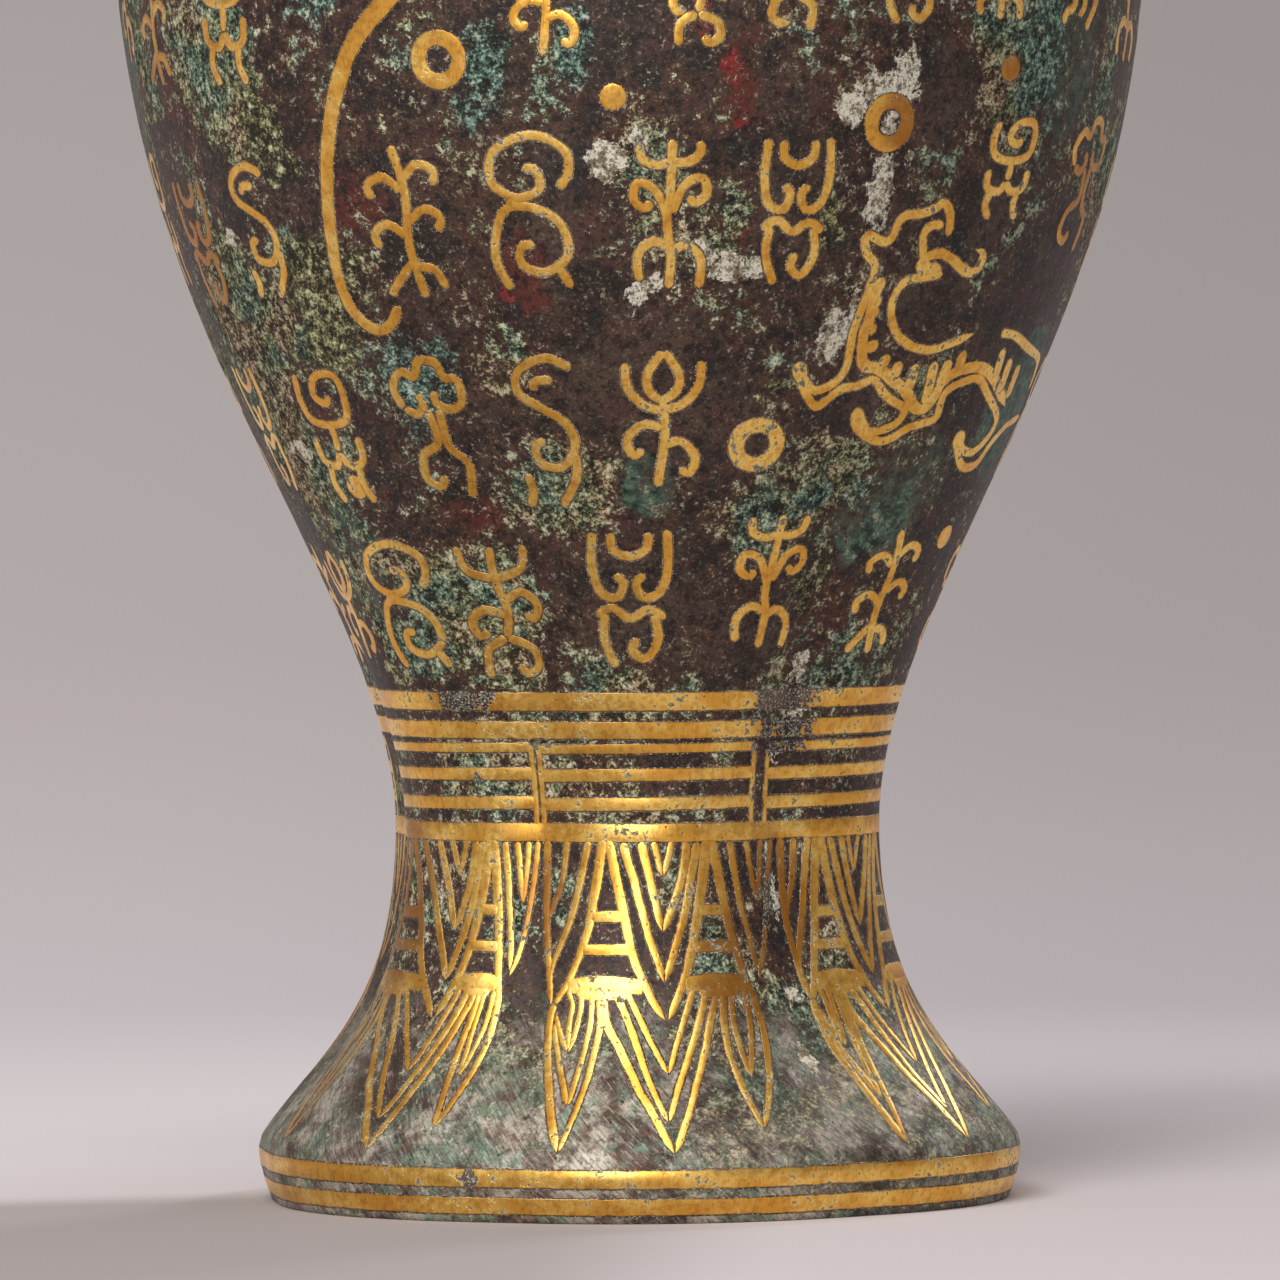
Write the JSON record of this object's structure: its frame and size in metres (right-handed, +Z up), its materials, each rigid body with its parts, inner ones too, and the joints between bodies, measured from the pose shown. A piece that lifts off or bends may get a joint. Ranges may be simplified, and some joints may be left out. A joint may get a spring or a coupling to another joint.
{
  "type": "bronze flower vase",
  "caption": "Lobed bronze flower vase with a full belly, narrow waist, spreading foot and flared neck, with bands, hanging leaves, rings and a striding beast inlaid in gold.",
  "frame": {"origin": "centre of the foot's underside, on the surface that the vase stands on", "axes": "+Z up along the vase's axis, the lobe that faces the front looks along -Y"},
  "size_m": [0.2048, 0.2078, 0.3863],
  "materials": {
    "bronze": "dark patinated cast bronze with green, blue-green, white and red crusts, brushed brighter on the foot",
    "gold": "worn, softly polished gold laid flush in the bronze"
  },
  "bodies": {
    "root": {"vase_body": "bronze", "neck_and_mouth": "bronze", "base_plate": "bronze", "foot_band_lower": "gold", "foot_band_upper": "gold", "waist_band_lower": "gold", "waist_band_upper": "gold", "ladder_panel_1": "gold", "ladder_panel_2": "gold", "ladder_panel_3": "gold", "ladder_panel_4": "gold", "ladder_panel_5": "gold", "ladder_panel_6": "gold", "leaf_panel_1": "gold", "leaf_panel_2": "gold", "leaf_panel_3": "gold", "leaf_panel_4": "gold", "leaf_panel_5": "gold", "leaf_panel_6": "gold", "ring_1": "gold", "ring_2": "gold", "ring_3": "gold", "ring_4": "gold", "ring_5": "gold", "ring_6": "gold", "dot_1": "gold", "dot_2": "gold", "dot_3": "gold", "dot_4": "gold", "dot_5": "gold", "dot_6": "gold", "hook_1": "gold", "beast_1_back": "gold", "beast_1_chest": "gold", "beast_1_belly": "gold", "neck_band": "gold", "neck_leaf_1": "gold", "neck_leaf_2": "gold", "neck_leaf_3": "gold", "neck_leaf_4": "gold", "neck_leaf_5": "gold", "neck_leaf_6": "gold", "lip_band": "gold"}
  },
  "joints": []
}
